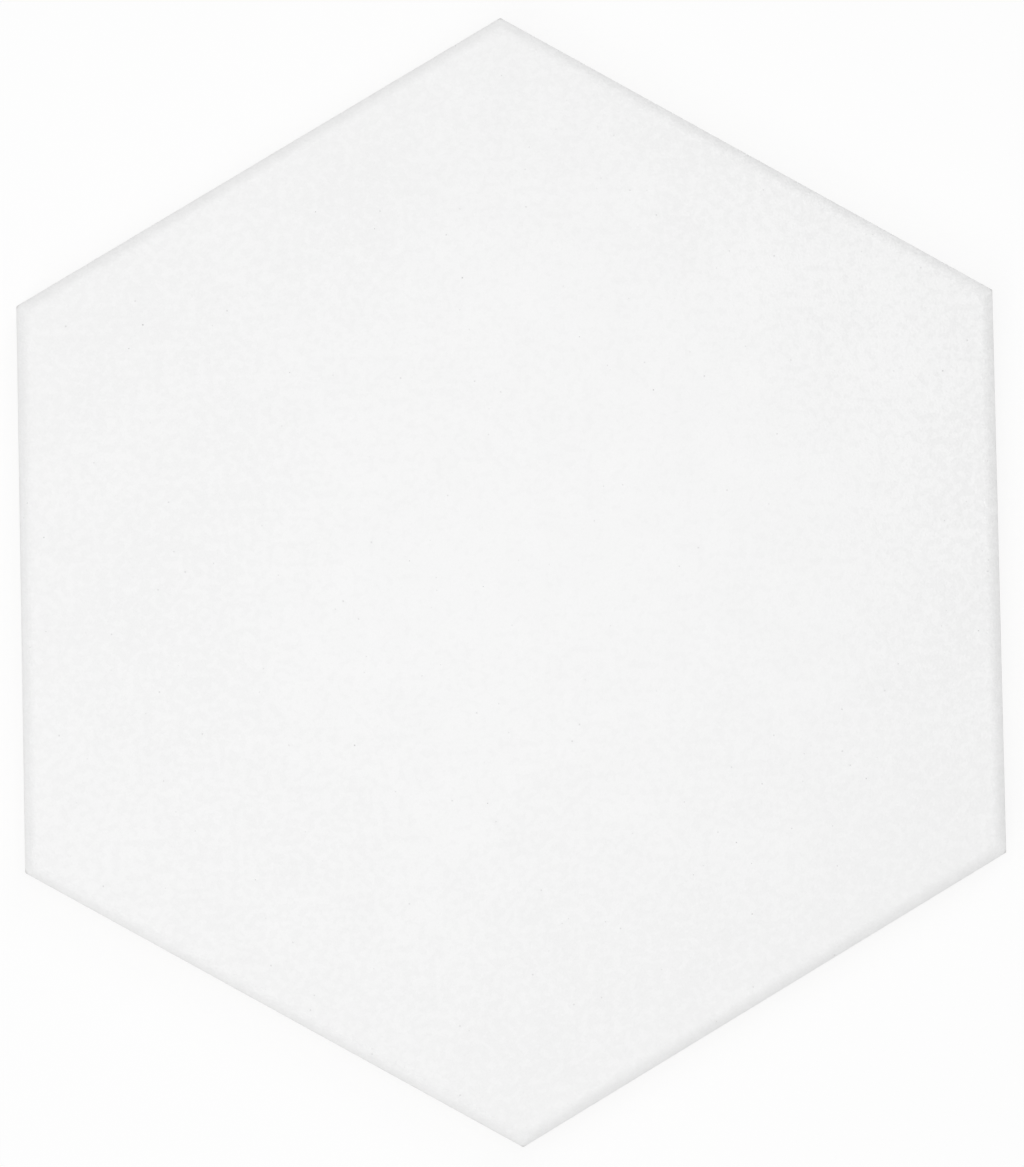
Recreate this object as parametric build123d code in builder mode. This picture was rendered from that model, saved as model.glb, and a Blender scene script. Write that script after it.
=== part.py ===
from build123d import *
from math import atan2, cos, degrees, hypot, radians, tan
import os

# A pressed hexagonal ceramic tile with a cushioned edge, lying on its back.
# Millimetres. Z is up and the glazed face looks up. The origin is the middle of
# the bedding plane, where the ribs of the back stand on the floor. Two corners
# of the hexagon lie on the Y axis and two of its sides face along X.

# Outline
across_flats = 175.0
thickness = 9.0
corner_radius = 0.35

# Cushioned edge round the glazed face
cushion_width = 1.6
cushion_drop = 0.95
shoulder_radius = 3.0
lip_radius = 0.3
face_corner_radius = 3.0

# Bevelled foot that lets the pressed tile leave its die
foot_inset = 0.8
foot_height = 1.6

# Keying relief of the back: rings of hexagonal pockets inside a plain rim
rim_width = 7.3
rings = 4
rib_width = 2.5
pocket_depth = 0.8
pocket_draft = 30.0
pocket_corner_radius = 1.5

# Worked out from the sizes above
sides = 6
half_sector = 180 / sides
wall_top = thickness - cushion_drop

# The shoulder's arc takes up less than half of the slope that it runs out into
slope_angle = atan2(cushion_drop, cushion_width)
slope_length = hypot(cushion_width, cushion_drop)
widest_shoulder = 0.45 * slope_length / tan(slope_angle / 2)

# From the middle to the rim lie `rings` columns of pockets and ribs, and then
# the outermost pocket from its middle to its corner. Its width fills that reach.
column_share = cos(radians(half_sector))
field_reach = across_flats / 2 - foot_inset - rim_width
pocket_width = (field_reach - rings * column_share * rib_width) / (rings * column_share + 0.5 / column_share)
pocket_pitch = pocket_width + rib_width
wall_slant = pocket_depth * tan(radians(pocket_draft))


def pocket_centres(ring_count, pitch):
    """The middles of a honeycomb that fills a hexagon with a corner towards +Y."""
    centres = []
    for column in range(-ring_count, ring_count + 1):
        lowest = max(-ring_count, -column - ring_count)
        highest = min(ring_count, -column + ring_count)
        for row in range(lowest, highest + 1):
            x = column * pitch * column_share
            y = (row + column / 2) * pitch
            centres.append((x, y))
    return centres


# One pocket, wide at its mouth in the bedding plane and narrower at its floor
with BuildPart() as pocket:
    with BuildSketch(Plane.XY):
        RegularPolygon(pocket_width / 2, sides, major_radius=False)
        fillet(vertices(), pocket_corner_radius)
    with BuildSketch(Plane.XY.offset(pocket_depth)):
        RegularPolygon(pocket_width / 2 - wall_slant, sides, major_radius=False)
        fillet(vertices(), pocket_corner_radius)
    loft(ruled=True)

# The tile: foot, upright side and cushion as lofts between rounded hexagons
with BuildPart() as tile:
    with BuildSketch(Plane.XY):
        RegularPolygon(across_flats / 2 - foot_inset, sides, major_radius=False, rotation=half_sector)
        fillet(vertices(), corner_radius)
    with BuildSketch(Plane.XY.offset(foot_height)) as side_outline:
        RegularPolygon(across_flats / 2, sides, major_radius=False, rotation=half_sector)
        fillet(vertices(), corner_radius)
    loft(ruled=True)
    extrude(side_outline.sketch, amount=wall_top - foot_height)
    with BuildSketch(Plane.XY.offset(wall_top)):
        RegularPolygon(across_flats / 2, sides, major_radius=False, rotation=half_sector)
        fillet(vertices(), corner_radius)
    with BuildSketch(Plane.XY.offset(thickness)):
        RegularPolygon(across_flats / 2 - cushion_width, sides, major_radius=False, rotation=half_sector)
        fillet(vertices(), face_corner_radius)
    loft(ruled=True)
    shoulder = faces().sort_by(Axis.Z)[-1].edges()
    fillet(shoulder, min(shoulder_radius, widest_shoulder))
    lip = edges().filter_by_position(Axis.Z, wall_top, wall_top)
    fillet(lip, lip_radius)
    with Locations(*pocket_centres(rings, pocket_pitch)):
        add(pocket.part, mode=Mode.SUBTRACT)

tile.part.label = "tile"
os.makedirs("parts", exist_ok=True)
export_step(tile.part, "parts/tile.step")

print("pockets", len(pocket_centres(rings, pocket_pitch)))
print("pocket width", round(pocket_width, 2), "mm at a pitch of", round(pocket_pitch, 2), "mm")
print("cushion slope in degrees", round(degrees(slope_angle), 1))
print("volume", round(tile.part.volume), "mm3")
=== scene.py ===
# %% [markdown]
# # A matte white hexagonal tile
#
# The real thing is one piece of pressed and fired clay with a glaze on its face.
# A die gives it six straight sides, a cushioned edge round the face, a small
# bevel at the foot and a honeycomb of shallow pockets on the back, which the
# adhesive keys into. This lesson builds it in three steps: the shape, the
# finishes, and then the white table and the lights of a plain product shot.
#
# The imported model is the fixed frame. It says where the tile lies and how large
# it is, so it is loaded first, and nothing below moves it.

import math

import bmesh
import bpy
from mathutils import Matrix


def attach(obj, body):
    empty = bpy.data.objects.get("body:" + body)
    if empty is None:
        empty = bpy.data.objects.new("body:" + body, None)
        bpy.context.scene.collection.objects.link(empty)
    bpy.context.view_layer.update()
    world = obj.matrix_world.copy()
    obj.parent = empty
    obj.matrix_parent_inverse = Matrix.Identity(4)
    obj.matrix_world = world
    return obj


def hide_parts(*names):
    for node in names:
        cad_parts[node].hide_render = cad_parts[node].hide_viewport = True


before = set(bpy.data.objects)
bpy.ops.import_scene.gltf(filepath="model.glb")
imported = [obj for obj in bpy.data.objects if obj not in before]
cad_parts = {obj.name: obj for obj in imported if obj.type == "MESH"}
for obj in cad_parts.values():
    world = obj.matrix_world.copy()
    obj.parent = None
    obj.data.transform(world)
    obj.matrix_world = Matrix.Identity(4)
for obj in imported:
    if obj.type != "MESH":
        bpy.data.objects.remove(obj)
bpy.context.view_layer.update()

# %% [markdown]
# ## The camera
#
# The tile was taken from straight above with a long lens, and the camera wasn't
# quite level or quite square to it: the outline is turned by about one degree
# and its far sides are a touch shorter. A wide lens close by would show the
# same outline only with far stronger perspective, so a 135 mm lens is used, and
# the pose was worked out from where the six corners lie in the picture.

# %% Aim the camera
lens = bpy.data.cameras.new("copy_stand_camera")
lens.lens = 135.0
lens.sensor_width = 36.0
lens.clip_start = 0.01
camera = bpy.data.objects.new("copy_stand_camera", lens)
camera.location = (-0.02362, -0.03247, 0.78907)
camera.rotation_euler = [math.radians(v) for v in (2.3628, -1.6878, -1.1626)]
bpy.context.scene.collection.objects.link(camera)
bpy.context.scene.camera = camera
print("camera", round(camera.location.length, 3), "m from the tile")

# %% [markdown]
# ## The sizes
#
# Every size is written once, in millimetres as a tile maker would, and turned
# into metres by one factor, because the frame is in metres.

# %% Write down the sizes
MM = 0.001
across_flats = 175.0 * MM
thickness = 9.0 * MM
corner_radius = 0.35 * MM
cushion_width = 1.6 * MM
cushion_drop = 0.95 * MM
shoulder_radius = 3.0 * MM
lip_radius = 0.3 * MM
face_corner_radius = 3.0 * MM
foot_inset = 0.8 * MM
foot_height = 1.6 * MM
pocket_rings = 4
rim_width = 7.3 * MM
rib_width = 2.5 * MM
pocket_depth = 0.8 * MM
pocket_draft = math.radians(30)
pocket_corner_radius = 1.5 * MM
half_sector = math.radians(30)
column_share = math.cos(half_sector)
columns_reach = pocket_rings * column_share
field_reach = across_flats / 2 - foot_inset - rim_width
pocket_width = (field_reach - columns_reach * rib_width) / (columns_reach + 0.5 / column_share)
pocket_pitch = pocket_width + rib_width
wall_top = thickness - cushion_drop
print("pocket pitch in mm", round(pocket_pitch / MM, 3))

# %% [markdown]
# ## The section
#
# Cut across one side, the tile is a short run of straight lines with a rounded
# corner between each two: bedding plane, foot bevel, upright side, cushion slope
# and face. It could be drawn as a curve with fillets, but then its points fall
# where the curve likes. Here the corners are rounded in code, so that each arc
# gets as many steps as it needs. A holding point close to each arc keeps the
# smooth shading of the arc from leaking onto the flat beside it.

# %% Round the corners of a section
holding = 0.12 * MM


def rounded(corners):
    """Points of a polyline of (inset, height, radius, steps). A radius of 0 keeps the point."""
    points = []
    for i, (x, z, radius, steps) in enumerate(corners):
        if not radius:
            points.append((x, z))
            continue
        legs = []
        for other in (corners[i - 1], corners[i + 1]):
            distance = math.hypot(other[0] - x, other[1] - z)
            legs.append(((other[0] - x) / distance, (other[1] - z) / distance))
        (ax, az), (bx, bz) = legs
        half = math.acos(ax * bx + az * bz) / 2
        tangent = radius / math.tan(half)
        reach = radius / math.sin(half) / math.hypot(ax + bx, az + bz)
        cx, cz = x + (ax + bx) * reach, z + (az + bz) * reach
        start = math.atan2(z + az * tangent - cz, x + ax * tangent - cx)
        end = math.atan2(z + bz * tangent - cz, x + bx * tangent - cx)
        sweep = (end - start + math.pi) % (2 * math.pi) - math.pi
        points.append((x + ax * (tangent + holding), z + az * (tangent + holding)))
        for step in range(steps + 1):
            angle = start + sweep * step / steps
            points.append((cx + radius * math.cos(angle), cz + radius * math.sin(angle)))
        points.append((x + bx * (tangent + holding), z + bz * (tangent + holding)))
    return points


bedding_strip = 1.2 * MM
bedding_radius = 0.35 * MM
foot_radius = 0.5 * MM
face_start = 5.0 * MM
face_steps = 26
tile_section = rounded([
    (foot_inset + bedding_strip, 0.0, 0, 0),
    (foot_inset, 0.0, bedding_radius, 4),
    (0.0, foot_height, foot_radius, 3),
    (0.0, wall_top, lip_radius, 7),
    (cushion_width, thickness, shoulder_radius, 12),
    (face_start, thickness, 0, 0),
])
middle = across_flats / 2
for step in range(1, face_steps + 1):
    tile_section.append((face_start + (middle - face_start) * step / face_steps, thickness))

rib_radius = 0.25 * MM
pocket_floor_radius = 0.35 * MM
pocket_inset = pocket_depth * math.tan(pocket_draft)
pocket_section = rounded([
    (0.0, 0.0, 0, 0),
    (rib_width / 2, 0.0, rib_radius, 3),
    (rib_width / 2 + pocket_inset, pocket_depth, pocket_floor_radius, 3),
    (pocket_pitch / 2, pocket_depth, 0, 0),
])
print("tile section", len(tile_section), "points, pocket section", len(pocket_section), "points")


# %% [markdown]
# The outline is a hexagon with rounded corners at every height, but the corners
# are a little rounder at the face than down the sides. So each point of a
# section also carries the corner radius that the outline has there.

# %% Store each section as loose points
def tile_corner(inset, height):
    """Corner radius of the tile's outline at one point of its section."""
    if height < wall_top:
        return corner_radius
    share = min(inset / cushion_width, 1.5)
    return corner_radius + (face_corner_radius - corner_radius) * share


pocket_corner_start = rib_width / 2 - 0.3 * MM


def pocket_corner(inset, height):
    """Corner radius of a pocket: none on the rib's middle line, where cells meet."""
    return pocket_corner_radius * min(inset / pocket_corner_start, 1)


def store_section(name, section, corner_rule):
    """An object of loose points: x is the inset from the outline, z is the height."""
    mesh = bpy.data.meshes.new(name)
    mesh.from_pydata([(inset, 0, height) for inset, height in section], [], [])
    corner = mesh.attributes.new("corner", "FLOAT", "POINT")
    corner.data.foreach_set("value", [corner_rule(*point) for point in section])
    thing = bpy.data.objects.new(name, mesh)
    bpy.context.scene.collection.objects.link(thing)
    return thing


tile_blank = store_section("tile_section", tile_section, tile_corner)
pocket_blank = store_section("pocket_section", pocket_section, pocket_corner)
print("stored", tile_blank.name, "and", pocket_blank.name)


# %% [markdown]
# ## Typing formulas into node trees
#
# The shape and the finishes below are rules, and a rule is short as a formula
# but long as Math nodes. A small class lets formulas be typed: each + - * /
# on a number adds a Math node or two to the tree that the number belongs to.

# %% A number that lives in a node tree
def feed(socket, value):
    """Links a value to a socket if it comes from another node, and else sets it."""
    value = getattr(value, "socket", value)
    if isinstance(value, bpy.types.NodeSocket):
        socket.id_data.links.new(value, socket)
    else:
        socket.default_value = value


class Number:
    """A socket that carries a number, with the arithmetic that adds Math nodes."""

    def __init__(self, socket):
        self.socket = socket

    def calc(self, operation, *others):
        node = self.socket.id_data.nodes.new("ShaderNodeMath")
        node.operation = operation
        for socket, value in zip(node.inputs, (self, *others)):
            feed(socket, value)
        return Number(node.outputs[0])

    def __add__(self, other):
        return self.calc("ADD", other)

    def __sub__(self, other):
        return self.calc("SUBTRACT", other)

    def __mul__(self, other):
        return self.calc("MULTIPLY", other)

    def __truediv__(self, other):
        return self.calc("DIVIDE", other)

    def __rsub__(self, other):
        return self.calc("MULTIPLY_ADD", -1.0, other)

    def __rtruediv__(self, other):
        return self.calc("POWER", -1.0) * other

    def ramp(self, low, high, to_low=0.0, to_high=1.0):
        """0 below low, 1 above high and a smooth rise between, or the range given."""
        node = self.socket.id_data.nodes.new("ShaderNodeMapRange")
        node.interpolation_type = "SMOOTHSTEP"
        values = {"Value": self, "From Min": low, "From Max": high, "To Min": to_low, "To Max": to_high}
        for name, value in values.items():
            feed(node.inputs[name], value)
        return Number(node.outputs["Result"])


def add(tree, kind, values=None, **settings):
    """Adds a node, sets its choices, and feeds the sockets that are named."""
    node = tree.nodes.new(kind)
    for name, setting in settings.items():
        setattr(node, name, setting)
    for name, value in (values or {}).items():
        feed(next(s for s in node.inputs if s.name == name and s.enabled), value)
    return node


def new_tree(name, kind, inputs, outputs):
    """An empty node group with named inputs and outputs, and its two end nodes."""
    tree = bpy.data.node_groups.new(name, kind)
    for direction, sockets in (("INPUT", inputs), ("OUTPUT", outputs)):
        for label, socket_kind, *default in sockets:
            socket_type = "NodeSocket" + socket_kind
            socket = tree.interface.new_socket(label, in_out=direction, socket_type=socket_type)
            if default:
                socket.default_value = default[0]
    return tree, tree.nodes.new("NodeGroupInput").outputs, tree.nodes.new("NodeGroupOutput").inputs


# %% [markdown]
# ## Sweep a section round a hexagon
#
# A rounded hexagon is a sharp, smaller hexagon whose outline is pushed out by
# the corner radius. That is the whole rule: outline = core * b + normal * r.
# Sweeping a profile along a curve would pinch at corners this tight, so a grid
# is bent instead. Its rows are the points of the section, and its columns run
# round the outline, in six sectors that each have a corner in the middle.
# The same group makes the tile and the pockets of its back.

# %% The sweep as a node group
weld_distance = 0.002 * MM

sweep, given, made = new_tree(
    "sweep_round_hexagon", "GeometryNodeTree",
    [("Section", "Geometry"), ("Apothem", "Float"), ("Arc steps", "Int", 3), ("Side steps", "Int", 4)],
    [("Mesh", "Geometry")],
)
section_count = add(sweep, "GeometryNodeAttributeDomainSize", {"Geometry": given["Section"]})
rows = section_count.outputs["Point Count"]
sector = (Number(given["Arc steps"]) + given["Side steps"]) * 2
columns = sector * 6 + 1
grid = add(sweep, "GeometryNodeMeshGrid", {"Vertices X": rows, "Vertices Y": columns})
index = Number(add(sweep, "GeometryNodeInputIndex").outputs[0])
row = ((index + 0.5) / columns).calc("FLOOR")
column = index - row * columns
sixth = ((column + 0.5) / sector).calc("FLOOR")
step = column - sixth * sector - sector / 2
side = step.calc("SIGN")
away = step.calc("ABSOLUTE")
turn = side * (away / given["Arc steps"]).calc("MINIMUM", 1) * half_sector
along = (away - given["Arc steps"]).calc("MAXIMUM", 0) / given["Side steps"]


def of_section(value, data_type):
    """What a field says at this row's point of the section."""
    values = {"Geometry": given["Section"], "Value": value, "Index": row}
    return add(sweep, "GeometryNodeSampleIndex", values, data_type=data_type).outputs[0]


def moved(tree, mesh, position):
    """A mesh with its points set where a field says."""
    values = {"Geometry": mesh, "Position": position}
    return add(tree, "GeometryNodeSetPosition", values).outputs[0]


def welded(tree, mesh):
    """A mesh whose points that lie on one another have become one."""
    values = {"Geometry": mesh, "Distance": weld_distance}
    return add(tree, "GeometryNodeMergeByDistance", values).outputs[0]


place = add(sweep, "GeometryNodeInputPosition").outputs[0]
stored = add(sweep, "GeometryNodeInputNamedAttribute", {"Name": "corner"}, data_type="FLOAT")
point = add(sweep, "ShaderNodeSeparateXYZ", {"Vector": of_section(place, "FLOAT_VECTOR")}).outputs
reach = Number(given["Apothem"]) - point["X"]
rounding = reach.calc("MINIMUM", Number(of_section(stored.outputs["Attribute"], "FLOAT")))
core = reach - rounding
x = side * along * core * 0.5 + turn.calc("SINE") * rounding
y = (along * -0.5 * math.tan(half_sector) + 1 / column_share) * core + turn.calc("COSINE") * rounding
flat_place = add(sweep, "ShaderNodeCombineXYZ", {"X": x, "Y": y, "Z": point["Z"]}).outputs[0]
turning = {"Vector": flat_place, "Angle": sixth * (-2 * half_sector)}
turned = add(sweep, "ShaderNodeVectorRotate", turning, rotation_type="Z_AXIS").outputs[0]
feed(made["Mesh"], welded(sweep, moved(sweep, grid.outputs["Mesh"], turned)))
print("sweep group has", len(sweep.nodes), "nodes")

# %% [markdown]
# ## The honeycomb of the back
#
# Pockets repeat, so one cell is made and set on a lattice. Two whole numbers, p
# and q, count along two directions of a honeycomb 60 degrees apart, and a cell
# belongs to the field if p, q and their sum all stay within the ring count.
# Each cell reaches to the middle line of its ribs, so that neighbours share
# their edges and weld into one surface.

# %% The honeycomb as a node group
honeycomb, given, made = new_tree(
    "honeycomb_field", "GeometryNodeTree",
    [("Cell", "Geometry"), ("Pitch", "Float"), ("Rings", "Int", 4)],
    [("Mesh", "Geometry")],
)
across = Number(given["Rings"]) * 2 + 1
lattice = add(honeycomb, "GeometryNodeMeshGrid", {"Vertices X": across, "Vertices Y": across})
index = Number(add(honeycomb, "GeometryNodeInputIndex").outputs[0])
q = ((index + 0.5) / across).calc("FLOOR") - given["Rings"]
p = index - (q + given["Rings"]) * across - given["Rings"]
seat_place = {"X": q * given["Pitch"] * column_share, "Y": (p + q * 0.5) * given["Pitch"]}
seat = add(honeycomb, "ShaderNodeCombineXYZ", seat_place).outputs[0]
spread = moved(honeycomb, lattice.outputs["Mesh"], seat)
outside = (p + q).calc("ABSOLUTE").calc("GREATER_THAN", Number(given["Rings"]) + 0.5)
surplus = {"Geometry": spread, "Selection": outside}
seats = add(honeycomb, "GeometryNodeDeleteGeometry", surplus, domain="POINT").outputs[0]
cells = add(honeycomb, "GeometryNodeInstanceOnPoints", {"Points": seats, "Instance": given["Cell"]})
real = add(honeycomb, "GeometryNodeRealizeInstances", {"Geometry": cells.outputs[0]}).outputs[0]
feed(made["Mesh"], welded(honeycomb, real))
print("honeycomb group has", len(honeycomb.nodes), "nodes")

# %% [markdown]
# ## Press the tile
#
# The tile's own tree puts the pieces together. The swept body is open only at
# the bedding plane, and the honeycomb only at its outer edge, so the plain rim
# is the flat region between those two loops. Turned into curves, both loops go
# to Fill Curve, which makes the flat with the honeycomb's zigzag cut out.

# %% The tile's tree
press, given, made = new_tree(
    "press_tile", "GeometryNodeTree",
    [
        ("Section", "Geometry"),
        ("Across flats", "Float", across_flats),
        ("Corner steps", "Int", 4),
        ("Side steps", "Int", 14),
        ("Pocket section", "Object"),
        ("Pocket pitch", "Float", pocket_pitch),
        ("Pocket rings", "Int", pocket_rings),
        ("Foot height", "Float", foot_height),
        ("Side height", "Float", wall_top - lip_radius),
        ("Face finish", "Material"),
        ("Side finish", "Material"),
        ("Back finish", "Material"),
    ],
    [("Mesh", "Geometry")],
)


def swept(section, apothem, arc_steps, side_steps):
    """One use of the sweep group in the tile's tree."""
    values = {"Section": section, "Apothem": apothem, "Arc steps": arc_steps, "Side steps": side_steps}
    return add(press, "GeometryNodeGroup", values, node_tree=sweep).outputs["Mesh"]


def open_loop(mesh):
    """The edges of a mesh that have only one face, as curves."""
    faces = Number(add(press, "GeometryNodeInputMeshEdgeNeighbors").outputs["Face Count"])
    values = {"Mesh": mesh, "Selection": faces.calc("COMPARE", 1, 0.5)}
    return add(press, "GeometryNodeMeshToCurve", values).outputs[0]


def joined(*meshes):
    """Several geometries as one."""
    node = press.nodes.new("GeometryNodeJoinGeometry")
    for mesh in meshes:
        feed(node.inputs[0], mesh)
    return node.outputs[0]


apothem = Number(given["Across flats"]) * 0.5
body = swept(given["Section"], apothem, given["Corner steps"], given["Side steps"])
pocket_line = add(press, "GeometryNodeObjectInfo", {"Object": given["Pocket section"]})
cell = swept(pocket_line.outputs["Geometry"], Number(given["Pocket pitch"]) * 0.5, 2, 1)
cell_turn = {"Geometry": cell, "Rotation": (0, 0, half_sector)}
cell = add(press, "GeometryNodeTransform", cell_turn).outputs[0]
values = {"Cell": cell, "Pitch": given["Pocket pitch"], "Rings": given["Pocket rings"]}
back = add(press, "GeometryNodeGroup", values, node_tree=honeycomb).outputs["Mesh"]
rim_loops = joined(open_loop(body), open_loop(back))
rim = add(press, "GeometryNodeFillCurve", {"Curve": rim_loops}, mode="TRIANGLES").outputs[0]
whole = welded(press, joined(body, back, rim))
smooth = add(press, "GeometryNodeSetShadeSmooth", {"Geometry": whole}).outputs[0]
values = {"Geometry": smooth, "Material": given["Face finish"]}
dressed = add(press, "GeometryNodeSetMaterial", values).outputs[0]
centre = add(press, "GeometryNodeInputPosition").outputs[0]
height = Number(add(press, "ShaderNodeSeparateXYZ", {"Vector": centre}).outputs["Z"])
for top, finish in (("Side height", "Side finish"), ("Foot height", "Back finish")):
    below = height.calc("LESS_THAN", given[top])
    values = {"Geometry": dressed, "Selection": below, "Material": given[finish]}
    dressed = add(press, "GeometryNodeSetMaterial", values).outputs[0]
feed(made["Mesh"], add(press, "GeometryNodeRealizeInstances", {"Geometry": dressed}).outputs[0])
print("tile tree has", len(press.nodes), "nodes")

# %% Run the tree and keep a plain mesh
face_finish = bpy.data.materials.new("matte_white_glaze")
side_finish = bpy.data.materials.new("glaze_over_clay")
back_finish = bpy.data.materials.new("fired_clay_back")


def run_tree(blank, tree, values, name):
    """Evaluates a tree on an object and returns its result as a plain piece."""
    modifier = blank.modifiers.new(tree.name, "NODES")
    modifier.node_group = tree
    for item in tree.interface.items_tree:
        if item.in_out == "INPUT" and item.name in values:
            modifier[item.identifier] = values[item.name]
    evaluated = blank.evaluated_get(bpy.context.evaluated_depsgraph_get())
    mesh = bpy.data.meshes.new_from_object(evaluated)
    blank.modifiers.remove(modifier)
    bpy.data.objects.remove(blank)
    mesh.name = name
    piece = bpy.data.objects.new(name, mesh)
    bpy.context.scene.collection.objects.link(piece)
    return piece


finishes = {"Face finish": face_finish, "Side finish": side_finish, "Back finish": back_finish}
tile = run_tree(tile_blank, press, {"Pocket section": pocket_blank, **finishes}, "glazed_tile")
bpy.data.objects.remove(pocket_blank)

shape = bmesh.new()
shape.from_mesh(tile.data)
bmesh.ops.recalc_face_normals(shape, faces=shape.faces)
open_edges = sum(not edge.is_manifold for edge in shape.edges)
print("open edges", open_edges, "volume in cm3", round(shape.calc_volume(signed=True) * 1e6, 3))
shape.to_mesh(tile.data)
shape.free()
triangles = sum(len(face.vertices) - 2 for face in tile.data.polygons)
print("faces", len(tile.data.polygons), "triangles", triangles)

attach(tile, "root")
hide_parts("tile")

# %% [markdown]
# ## Patterns measured in millimetres
#
# Glaze and clay have detail from a tenth of a millimetre to a few centimetres,
# and it looks right only at its real size. Object coordinates stay with the
# piece from wherever it is seen. They are in metres here, so each material
# multiplies them by 1000 first, and then each pattern gets a size in mm.

# %% Helpers for patterns
def scaled(tree, vector, factor):
    """A place or a colour with each of its three numbers multiplied by one factor."""
    values = {"Vector": vector, "Scale": factor}
    return add(tree, "ShaderNodeVectorMath", values, operation="SCALE").outputs[0]


def place_in_mm(tree):
    """Where a point of the surface lies on the tile, in millimetres."""
    return scaled(tree, add(tree, "ShaderNodeTexCoord").outputs["Object"], 1 / MM)


def split(tree, vector):
    """The three numbers of a vector or a colour."""
    return [Number(socket) for socket in add(tree, "ShaderNodeSeparateXYZ", {"Vector": vector}).outputs]


def length(tree, vector):
    """How long a vector is."""
    node = add(tree, "ShaderNodeVectorMath", {"Vector": vector}, operation="LENGTH")
    return Number(node.outputs["Value"])


def total(tree, vector):
    """The sum of a vector's three numbers."""
    x, y, z = split(tree, vector)
    return x + y + z


def by_axis(tree, operation, first, second):
    """Arithmetic on two vectors, axis by axis. Dividing a place by lengths makes streaks."""
    node = add(tree, "ShaderNodeVectorMath", operation=operation)
    feed(node.inputs[0], first)
    feed(node.inputs[1], second)
    return node.outputs[0]


def noise(tree, place, size, detail=2.0, roughness=0.5):
    """Soft random numbers round 0.5, in patches about `size` mm across."""
    values = {"Vector": place, "Scale": 1 / size, "Detail": detail, "Roughness": roughness}
    return Number(add(tree, "ShaderNodeTexNoise", values).outputs["Fac"])


def blend(tree, share, first, second):
    """A colour between two, the first where share is 0 and the second where it is 1."""
    values = {"Factor": share, "A": first, "B": second}
    return add(tree, "ShaderNodeMix", values, data_type="RGBA").outputs[2]


def use_group(tree, group, **values):
    """Places a shader group and returns its outputs as numbers. A name's _ stands for a space."""
    named = {name.replace("_", " ").capitalize(): value for name, value in values.items()}
    return [Number(socket) for socket in add(tree, "ShaderNodeGroup", named, node_tree=group).outputs]


# %% [markdown]
# ## Specks
#
# Grains of iron in the raw clay burn to dark specks, other minerals to pale
# ones, and gas that leaves the melt pricks pinholes. All are lone dots, so one
# group makes them: a Voronoi pattern drops one point in each cell of space, a
# throw of dice keeps some of them for a first and some for a second kind, and a
# dot with its own radius is drawn round each. The cells are solid, so the dots
# turn up alike on the face, the sides and the back.

# %% The speck group
specks, given, made = new_tree(
    "lone_specks", "ShaderNodeTree",
    [
        ("Place", "Vector"),
        ("Spacing", "Float", 3.0),
        ("First share", "Float", 0.1),
        ("Second share", "Float", 0.1),
        ("Smallest", "Float", 0.1),
        ("Largest", "Float", 0.2),
    ],
    [("First", "Float"), ("Second", "Float")],
)
values = {"Vector": given["Place"], "Scale": 1 / Number(given["Spacing"])}
cells = add(specks, "ShaderNodeTexVoronoi", values).outputs
dice, grade, _ = split(specks, cells["Color"])
speck_radius = grade * (Number(given["Largest"]) - given["Smallest"]) + given["Smallest"]
from_point = Number(cells["Distance"]) * given["Spacing"]
dot = from_point.ramp(speck_radius * 1.2, speck_radius * 0.7)
feed(made["First"], dot * dice.calc("LESS_THAN", given["First share"]))
feed(made["Second"], dot * dice.calc("GREATER_THAN", 1 - Number(given["Second share"])))
print("speck group has", len(specks.nodes), "nodes")

# %% [markdown]
# ## Bare clay
#
# The back and the lower sides are the fired body itself: a dry, chalky, greyish
# ivory with a grain like fine sandpaper, cloudy where the kiln was a little
# hotter, with dark mineral grains and small open pits. Upright faces also show
# the fine lines that the die drew when the tile was pushed out of it. Sides and
# back both need this clay, so it is a group that puts out its colour, roughness
# and height, and each material feeds them to its own shader.

# %% The bare clay group
body_colour = (0.71, 0.67, 0.61, 1)

clay, given, made = new_tree(
    "bare_clay", "ShaderNodeTree",
    [("Place", "Vector"), ("Body colour", "Color", body_colour), ("Drag", "Float", 1.0)],
    [("Colour", "Color"), ("Roughness", "Float"), ("Height", "Float")],
)
place = given["Place"]
cloud = noise(clay, place, 17.0)
grain = noise(clay, place, 0.45, detail=3.0, roughness=0.65)
mineral, pit = use_group(
    clay, specks, place=place, spacing=1.1,
    first_share=0.3, second_share=0.06, smallest=0.06, largest=0.22,
)

facing = split(clay, add(clay, "ShaderNodeTexCoord").outputs["Normal"])
upright = facing[2].calc("ABSOLUTE").ramp(0.9, 0.4)
drag_line = noise(clay, by_axis(clay, "DIVIDE", place, (1, 1, 30)), 0.3)
drag = (drag_line - 0.5) * upright * given["Drag"]

tone_and_shade = (cloud - 0.5) * 0.16 + (grain - 0.5) * 0.16 + drag * 0.22 + 1
# Dark mineral grains are the clay's own colour. Darkening the pits is painted shade in the hollows.
tone_and_shade = tone_and_shade * (1 - mineral * 0.22) * (1 - pit * 0.3)
feed(made["Colour"], scaled(clay, given["Body colour"], tone_and_shade))
feed(made["Roughness"], (grain - 0.5) * 0.25 + 0.8)
feed(made["Height"], (grain - 0.5) * 0.05 + drag * 0.05 - pit * 0.15)
print("clay group has", len(clay.nodes), "nodes")
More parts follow.
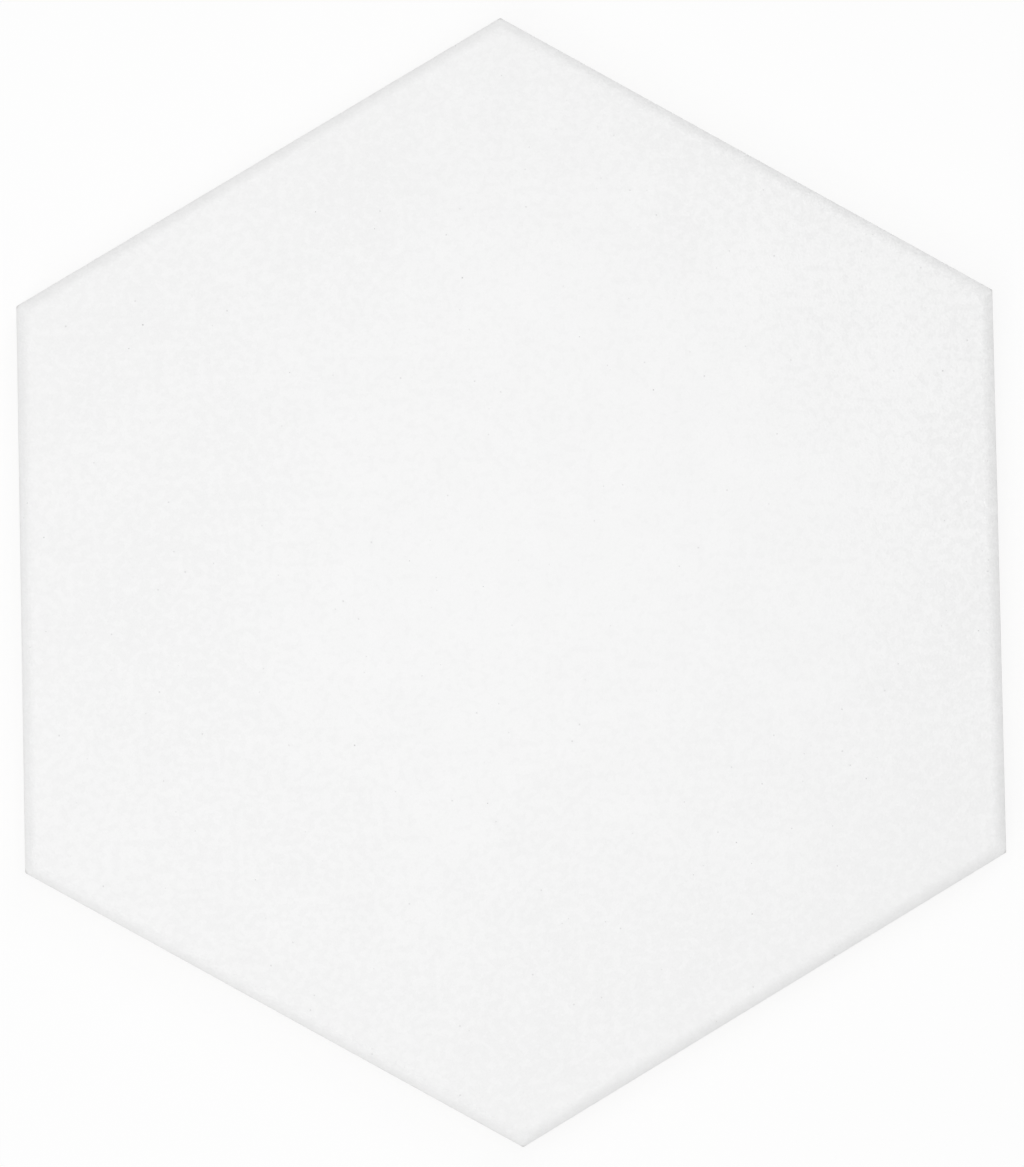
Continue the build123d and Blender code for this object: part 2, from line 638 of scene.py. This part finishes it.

# %% [markdown]
# ## The glaze
#
# The glaze is sprayed on as a milk of fine powder and melts only to a satin
# skin. It lies thickest a little beside the middle, where the spray passed, and
# thins out towards the edges, in clouds. Thin glaze is rougher and sandier, and
# it has more of the faint blotches, a millimetre or two wide, that show where it
# sank into the clay. The same mask greys the face a shade towards its edges, and
# that greying is painted shade, for the light that falls off away from the
# middle. The grain also grows stronger towards the far right, where the spray
# landed half dry, and pinholes and a few specks of iron lie all over the face.
# It could be painted as plain white with a bump on top, but then a hollow would
# be deeper without being darker. So each pattern is worked out as a number
# first, and colour, roughness and height all follow from the same numbers: the
# darker colour of a hollow is painted shade, on top of the glaze's own mottle.

# %% The glaze group
fresh_colour = (0.87, 0.87, 0.87, 1)
thick_and_bright_middle = (20.0, 8.0, thickness / MM)
thick_and_bright_within = 15.0
thin_and_shaded_beyond = 90.0
cloud_reach = 60.0
drift_lengths = (95.0, 200.0, 1e6)
drift_start = 0.45
drift_end = 1.0
usual_blotch = 0.4
usual_tone = 0.9935

glaze, given, made = new_tree(
    "matte_glaze", "ShaderNodeTree",
    [("Place", "Vector"), ("Glaze colour", "Color", fresh_colour)],
    [("Colour", "Color"), ("Roughness", "Float"), ("Height", "Float")],
)
place = given["Place"]
cloud = noise(glaze, place, 26.0) - 0.5
# Distance from the thick, bright middle: the mask makes the glaze sandier and more blotchy, and it also
# greys the colour, which is painted shade.
spread = length(glaze, by_axis(glaze, "SUBTRACT", place, thick_and_bright_middle))
thin_glaze_and_shade = (spread + cloud * cloud_reach).ramp(thick_and_bright_within, thin_and_shaded_beyond)

drift = total(glaze, by_axis(glaze, "DIVIDE", place, drift_lengths))
sandy = thin_glaze_and_shade * 0.4 + drift.ramp(drift_start, drift_end) * 0.9 + 0.6

grain = (noise(glaze, place, 0.4, detail=0.0) - 0.5) * sandy
blotch = (noise(glaze, place, 1.5, detail=1.0) + thin_glaze_and_shade * 0.12 + cloud * 0.25).ramp(0.53, 0.68)
swell = noise(glaze, place, 5.5, detail=1.0) - 0.5
iron, pinhole = use_group(
    glaze, specks, place=place, spacing=2.6,
    first_share=0.07, second_share=0.6, smallest=0.07, largest=0.17,
)

stain = (blotch - usual_blotch) * sandy
# Colour follows the same numbers as height. Where grain and swell dip, the colour darkens, partly the
# glaze's own mottle and partly painted shade. The thin mask greys the colour towards the edges, which
# is painted shade.
tone_and_shade = grain * 0.045 + swell * 0.03 - stain * 0.017 - thin_glaze_and_shade * 0.012 + usual_tone
# Iron specks are dark in their own colour. The darker pinholes are painted shade in the holes.
tone_and_shade = tone_and_shade * (1 - iron * 0.32) * (1 - pinhole * 0.15)
feed(made["Colour"], scaled(glaze, given["Glaze colour"], tone_and_shade))
feed(made["Roughness"], grain * 0.2 + blotch * 0.03 + 0.465)
feed(made["Height"], grain * 0.04 + swell * 0.04 - blotch * 0.004 - pinhole * 0.03)
print("glaze group has", len(glaze.nodes), "nodes")

# %% [markdown]
# Round the lip of the face the glaze draws back, and on the tips of the six
# corners it is thinnest of all. The colour is mixed with a plain grey there: by
# height along the lip, and at the corners by the distance from the tile's axis,
# which only they reach. That grey is painted shade, for the dark line of shade
# along the rounded lip and at the corner tips, where the slopes of two sides meet.

# %% The face material
def shader_of(finish):
    """A material's node tree and its Principled shader."""
    finish.use_nodes = True
    return finish.node_tree, finish.node_tree.nodes["Principled BSDF"]


def relief(tree, height):
    """Normals bent by a height in millimetres."""
    return add(tree, "ShaderNodeBump", {"Height": height, "Distance": MM, "Strength": 1.0}).outputs[0]


edge_shade_grey = (0.55, 0.55, 0.54, 1)
lip_height = wall_top / MM
lip_share = 0.11
lip_fade = 0.45
lip_full = 0.05
corner_reach = ((middle - corner_radius) / column_share + corner_radius) / MM
corner_share = 0.55
corner_fade = 0.5
corner_full = 0.1
tree, shader = shader_of(face_finish)
place = place_in_mm(tree)
z = split(tree, place)[2]
glaze_colour, glaze_roughness, glaze_height = use_group(tree, glaze, place=place)
from_axis = length(tree, by_axis(tree, "MULTIPLY", place, (1, 1, 0)))
lip = z.ramp(lip_height + lip_fade, lip_height + lip_full)
corner = from_axis.ramp(corner_reach - corner_fade, corner_reach - corner_full)
# Painted shade: grey along the lip and on the corner tips, where the glaze also thins.
thin_edge_and_shade = lip * lip_share + corner * corner_share
feed(shader.inputs["Base Color"], blend(tree, thin_edge_and_shade, glaze_colour, edge_shade_grey))
feed(shader.inputs["Roughness"], glaze_roughness)
feed(shader.inputs["Normal"], relief(tree, glaze_height))
print("face material has", len(tree.nodes), "nodes")

# %% [markdown]
# ## The sides
#
# On the sides the glaze ends in an uneven line, a few millimetres below the
# face, with a slight step. Just above the line it thins out and the clay shows
# through, and below it the bare clay starts, with its drag lines. Where the
# line runs is one number, the height less a wavering limit, and the change of
# colour, of roughness and of height all hang on it.

# %% The side material
glaze_end_height = 5.4
glaze_step = 0.06
fringe_width = 0.9
lip_fade_below = 0.7
tree, shader = shader_of(side_finish)
place = place_in_mm(tree)
z = split(tree, place)[2]
glaze_colour, glaze_roughness, glaze_height = use_group(tree, glaze, place=place)
clay_colour, clay_roughness, clay_height = use_group(tree, clay, place=place)

long_waver = noise(tree, place, 13.0) - 0.5
short_waver = noise(tree, place, 1.8) - 0.5
glaze_end = long_waver * 2.4 + short_waver * 0.9 + glaze_end_height
above_end = z - glaze_end
glazed = above_end.ramp(-0.07, 0.07)
fringe = above_end.ramp(fringe_width, 0.0) * 0.35
# The painted shade of the lip, continued a little way down the side.
thin_edge_and_shade = z.ramp(lip_height - lip_fade_below, lip_height) * lip_share
glaze_colour = blend(tree, thin_edge_and_shade, glaze_colour, edge_shade_grey)
glaze_colour = blend(tree, fringe, glaze_colour, clay_colour)
height = glazed * (glaze_height + glaze_step - clay_height) + clay_height
feed(shader.inputs["Base Color"], blend(tree, glazed, clay_colour, glaze_colour))
feed(shader.inputs["Roughness"], glazed * (glaze_roughness - clay_roughness) + clay_roughness)
feed(shader.inputs["Normal"], relief(tree, height))
print("side material has", len(tree.nodes), "nodes")

# %% [markdown]
# ## The back
#
# The tile goes through the kiln on its back, over rollers that are dusted with
# a white wash so that nothing sticks. The wash comes off on what touches them,
# the rim and the ribs, and is drawn out into smears along the way that the tile
# travelled. The rollers also leave faint grey rubs across it. The pockets never
# touch a roller, so their floors show the clean clay.

# %% The back material
wash_colour = (0.80, 0.785, 0.75, 1)
smear_lengths = (1, 9, 1)
rub_lengths = (14, 1, 1)
tree, shader = shader_of(back_finish)
place = place_in_mm(tree)
z = split(tree, place)[2]
clay_colour, clay_roughness, clay_height = use_group(tree, clay, place=place)

touching = z.ramp(0.14, 0.03)
smear = noise(tree, by_axis(tree, "DIVIDE", place, smear_lengths), 4.0, detail=4.0, roughness=0.6)
patchy = noise(tree, place, 30.0)
dust = noise(tree, place, 0.35)
wash = touching * (smear + (patchy - 0.5) * 0.9 + (dust - 0.5) * 0.5).ramp(0.42, 0.66)
rub_line = noise(tree, by_axis(tree, "DIVIDE", place, rub_lengths), 2.4, detail=3.0)
rub = touching * rub_line.ramp(0.56, 0.74)

rubbed = scaled(tree, clay_colour, 1 - rub * 0.14)
feed(shader.inputs["Base Color"], blend(tree, wash * 0.62, rubbed, wash_colour))
feed(shader.inputs["Roughness"], wash * 0.1 - rub * 0.12 + clay_roughness)
feed(shader.inputs["Normal"], relief(tree, wash * 0.02 + clay_height))
print("back material has", len(tree.nodes), "nodes")

# %% [markdown]
# ## The table
#
# The tile lies on a plain white table. A product shot has its background near
# white while the object is lit at a plain level. Brighter lamps would burn the
# glaze out, so the table itself shows the camera a mix of its lit surface and
# of plain white. The lit part keeps the tile's soft shadow. Away from the tile
# the plain white takes over, so that from a low angle the table runs into the
# sky without a line.

# %% Lay the table
def seen(tree):
    """1 for what is seen, also mirrored or through glass, and 0 for light that falls on things."""
    path = add(tree, "ShaderNodeLightPath").outputs
    mirrored = Number(path["Is Glossy Ray"]).calc("MAXIMUM", path["Is Transmission Ray"])
    return mirrored.calc("MAXIMUM", path["Is Camera Ray"])


table_reach = 4.0
table_drop = 0.2 * MM
table_colour = (0.9, 0.9, 0.9, 1)
white_share = 0.85
white_level = 1.0
fade_start = 0.25
fade_end = 1.2
signs = ((-1, -1), (1, -1), (1, 1), (-1, 1))
corners = [(x * table_reach, y * table_reach, -table_drop) for x, y in signs]
table_mesh = bpy.data.meshes.new("table")
table_mesh.from_pydata(corners, [], [(0, 1, 2, 3)])
table = bpy.data.objects.new("table", table_mesh)
bpy.context.scene.collection.objects.link(table)

white_table = bpy.data.materials.new("white_table")
white_table.use_nodes = True
tree = white_table.node_tree
tree.nodes.remove(tree.nodes["Principled BSDF"])
spot = add(tree, "ShaderNodeTexCoord").outputs["Object"]
white = length(tree, spot).ramp(fade_start, fade_end, white_share, 1.0)
lit = add(tree, "ShaderNodeBsdfDiffuse", {"Color": table_colour}).outputs[0]
glow = add(tree, "ShaderNodeEmission", {"Strength": white_level}).outputs[0]
mixed = add(tree, "ShaderNodeMixShader", {"Fac": seen(tree) * white})
feed(mixed.inputs[1], lit)
feed(mixed.inputs[2], glow)
feed(tree.nodes["Material Output"].inputs["Surface"], mixed.outputs[0])
table_mesh.materials.append(white_table)
print("table", 2 * table_reach, "m wide")

# %% [markdown]
# ## The light
#
# The face is flat, so what tells its shape is how the cushioned edge darkens on
# each side, and a light that comes only from above leaves all six alike. On the
# real tile the lower left edge is the brightest, the right one the darkest, and
# the face is a trace brighter in its middle. So one softbox hangs close
# overhead, with a second to its left and a weak third towards the back. Two
# large ones stand far off at the front left and the back right, and an even sky
# fills in the rest.

# %% Set the lights
def softbox(name, place, size, watts):
    """A square area light aimed at the middle of the tile."""
    light = bpy.data.lights.new(name, "AREA")
    light.size = size
    light.energy = watts
    lamp = bpy.data.objects.new(name, light)
    lamp.location = place
    lamp.rotation_euler = (-lamp.location).to_track_quat("-Z", "Y").to_euler()
    bpy.context.scene.collection.objects.link(lamp)


softbox("overhead_softbox", (0.0, 0.0, 0.85), 0.4, 1.61)
softbox("back_softbox", (0.0, 0.4, 0.85), 0.5, 0.53)
softbox("left_softbox", (-0.35, -0.2, 0.85), 0.5, 1.215)
softbox("front_left_softbox", (-0.9, -1.56, 1.7), 1.0, 8.8)
softbox("back_right_softbox", (0.9, 1.56, 1.7), 1.0, 8.38)

sky_level = 0.4425
studio = bpy.data.worlds.new("studio")
bpy.context.scene.world = studio
studio.use_nodes = True
sky = studio.node_tree.nodes["Background"]
sky.inputs["Color"].default_value = (1, 1, 1, 1)
feed(sky.inputs["Strength"], seen(studio.node_tree) * (white_level - sky_level) + sky_level)
bpy.context.scene.view_settings.view_transform = "Standard"
